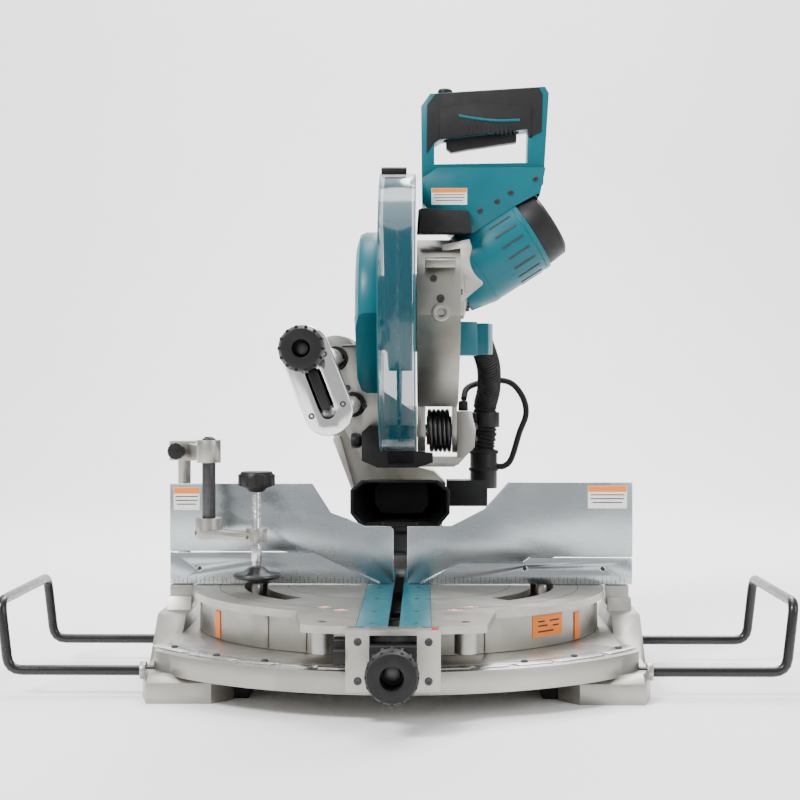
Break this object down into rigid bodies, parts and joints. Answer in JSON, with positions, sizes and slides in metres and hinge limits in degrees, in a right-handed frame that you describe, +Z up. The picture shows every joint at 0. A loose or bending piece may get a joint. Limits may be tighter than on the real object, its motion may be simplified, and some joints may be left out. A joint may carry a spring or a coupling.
{
  "type": "sliding miter saw",
  "caption": "Sliding compound miter saw: turntable with kerf slot, split fence, twin slide rails, tilting arm, guarded blade head, hold-down vise and extension bars.",
  "frame": {"origin": "on the turntable's axis, at the level of the bench the base stands on", "axes": "+X to the operator's right along the fence, +Y away from the operator along the rails, +Z up"},
  "size_m": [0.8304, 0.7873, 0.6755],
  "materials": {
    "black_plastic": "textured",
    "black_rod": "satin black",
    "black_rubber": "matt",
    "cast_alloy": "cast and powder-blasted",
    "chrome": "polished",
    "clear_teal": "clear tinted polycarbonate",
    "copper": "lacquered windings",
    "dark_steel": "blackened",
    "machined_alloy": "machined, brushed",
    "steel": "turned",
    "teal_plastic": "satin moulded"
  },
  "bodies": {
    "base": {"base_casting": "cast_alloy", "fixed_fence_left": "machined_alloy", "fixed_fence_right": "machined_alloy", "miter_pivot_bolt": "dark_steel"},
    "turntable": {"turntable": "cast_alloy", "kerf_board_left": "teal_plastic", "kerf_board_right": "teal_plastic", "bevel_pivot_shaft": "steel", "grip_bracket": "black_plastic"},
    "miter_grip": {"miter_grip": "black_plastic"},
    "detent_lever": {"detent_lever": "black_plastic"},
    "bevel_arm": {"bevel_arm": "cast_alloy", "upper_rail": "chrome", "lower_rail": "chrome", "rail_front_cap": "chrome", "dust_hood": "black_plastic", "dust_elbow": "black_plastic", "hose_lower": "black_rubber"},
    "bevel_lock": {"bevel_lock_knob": "black_plastic"},
    "bevel_release": {"bevel_release_lever": "black_plastic"},
    "carriage": {"carriage": "cast_alloy", "chop_pivot_shaft": "steel", "return_spring": "dark_steel", "dust_guide": "black_rubber", "hose_clip": "black_plastic", "cable_gland": "black_rubber", "hex_wrench": "dark_steel", "light_cable": "black_rubber"},
    "slide_lock": {"slide_lock_knob": "black_plastic"},
    "head": {"gear_housing": "cast_alloy", "motor_housing": "teal_plastic", "motor_end_cap": "black_plastic", "handle": "teal_plastic", "grip_overmould": "black_rubber", "head_bumper": "black_rubber", "hose_port": "teal_plastic", "blade_case": "teal_plastic", "blade_side_cover": "teal_plastic", "hose_upper": "black_rubber"},
    "blade": {"saw_blade": "steel", "arbor_shaft": "steel", "blade_flange": "steel", "arbor_bolt": "dark_steel", "drive_gear": "steel"},
    "lower_guard": {"lower_guard": "clear_teal", "guard_end_roller": "black_rubber"},
    "motor_armature": {"motor_armature": "copper"},
    "trigger": {"trigger": "black_plastic"},
    "lock_off_button": {"lock_off_button": "black_plastic"},
    "sliding_fence_left": {"sliding_fence_left": "machined_alloy"},
    "sliding_fence_right": {"sliding_fence_right": "machined_alloy"},
    "extension_bar_left": {"extension_bar_left": "black_rod"},
    "extension_bar_right": {"extension_bar_right": "black_rod"},
    "vise": {"vise_bracket": "cast_alloy", "vise_front_post": "dark_steel", "vise_arm": "cast_alloy"},
    "vise_clamp": {"vise_clamp_knob": "black_plastic"},
    "vise_screw": {"vise_screw": "steel", "vise_pad": "dark_steel"},
    "vise_knob": {"vise_knob": "black_plastic"}
  },
  "joints": [
    {"name": "miter_turn", "type": "hinge", "parent": "base", "child": "turntable", "pos_m": [0, 0, 0.06], "axis": [0, 0, -1], "range_deg": [-45, 45]},
    {"name": "miter_grip_turn", "type": "hinge", "parent": "turntable", "child": "miter_grip", "pos_m": [0, -0.35, 0.057], "axis": [0, -1, 0], "range_deg": [0, 90]},
    {"name": "detent_lever_press", "type": "hinge", "parent": "turntable", "child": "detent_lever", "pos_m": [-0.0512, -0.306, 0.066], "axis": [1, 0, 0], "range_deg": [0, 8], "stiffness_Nm_per_rad": 0.6, "springref_deg": -11.46},
    {"name": "bevel_tilt", "type": "hinge", "parent": "turntable", "child": "bevel_arm", "pos_m": [0, 0.3, 0.092], "axis": [0, 1, 0], "range_deg": [-17, 30]},
    {"name": "bevel_lock_turn", "type": "hinge", "parent": "bevel_arm", "child": "bevel_lock", "pos_m": [-0.085, -0.34, 0.356], "axis": [0, -1, 0], "range_deg": [0, 90]},
    {"name": "bevel_release_slide", "type": "slide", "parent": "bevel_arm", "child": "bevel_release", "axis": [-0.3632, 0, 0.9317], "range_m": [0, 0.004]},
    {"name": "rail_slide", "type": "slide", "parent": "bevel_arm", "child": "carriage", "axis": [0, 1, 0], "range_m": [-0.195, 0], "deforming": ["hose_lower", "light_cable"]},
    {"name": "slide_lock_turn", "type": "hinge", "parent": "carriage", "child": "slide_lock", "pos_m": [-0.055, 0.1915, 0.251], "axis": [1, 0, 0], "range_deg": [0, 90]},
    {"name": "chop", "type": "hinge", "parent": "carriage", "child": "head", "pos_m": [0, 0.25, 0.2625], "axis": [-1, 0, 0], "range_deg": [-41.5, 0], "stiffness_Nm_per_rad": 30, "springref_deg": 63.03, "deforming": ["hose_upper"]},
    {"name": "guard_turn", "type": "hinge", "parent": "head", "child": "lower_guard", "pos_m": [0, 0.05, 0.407], "axis": [-1, 0, 0], "range_deg": [0, 124.5]},
    {"name": "blade_spin", "type": "hinge", "parent": "head", "child": "blade", "pos_m": [0, 0.05, 0.407], "axis": [-1, 0, 0], "continuous": true},
    {"name": "motor_spin", "type": "hinge", "parent": "head", "child": "motor_armature", "pos_m": [0.172, 0.078, 0.515], "axis": [0.8387, 0, 0.5446], "continuous": true},
    {"name": "trigger_pull", "type": "slide", "parent": "head", "child": "trigger", "axis": [0, 0, 1], "range_m": [0, 0.005], "stiffness_N_per_m": 300, "springref_m": -0.004},
    {"name": "lock_off_press", "type": "slide", "parent": "head", "child": "lock_off_button", "axis": [0, 0, -1], "range_m": [0, 0.003], "stiffness_N_per_m": 300, "springref_m": -0.003},
    {"name": "fence_slide_left", "type": "slide", "parent": "base", "child": "sliding_fence_left", "axis": [1, 0, 0], "range_m": [-0.06, 0]},
    {"name": "fence_slide_right", "type": "slide", "parent": "base", "child": "sliding_fence_right", "axis": [1, 0, 0], "range_m": [0, 0.06]},
    {"name": "bar_slide_left", "type": "slide", "parent": "base", "child": "extension_bar_left", "axis": [1, 0, 0], "range_m": [0, 0.09]},
    {"name": "bar_slide_right", "type": "slide", "parent": "base", "child": "extension_bar_right", "axis": [-1, 0, 0], "range_m": [0, 0.09]},
    {"name": "vise_swing", "type": "hinge", "parent": "base", "child": "vise", "pos_m": [-0.2545, 0.047, 0.2], "axis": [0, 0, 1], "range_deg": [-20, 15]},
    {"name": "vise_clamp_turn", "type": "hinge", "parent": "vise", "child": "vise_clamp", "pos_m": [-0.26, 0.02, 0.245], "axis": [0, -1, 0], "range_deg": [0, 90]},
    {"name": "vise_feed", "type": "slide", "parent": "vise", "child": "vise_screw", "axis": [0, 0, -1], "range_m": [0, 0.008]},
    {"name": "vise_knob_turn", "type": "hinge", "parent": "vise_screw", "child": "vise_knob", "pos_m": [-0.156, -0.076, 0.215], "axis": [0, 0, -1], "range_deg": [0, 720]}
  ],
  "couplings": [
    {"joint": "guard_turn", "follows": "chop", "ratio": -3},
    {"joint": "motor_spin", "follows": "blade_spin", "ratio": -4.5},
    {"joint": "vise_knob_turn", "follows": "vise_feed", "rad_per_m": 1570.8}
  ]
}
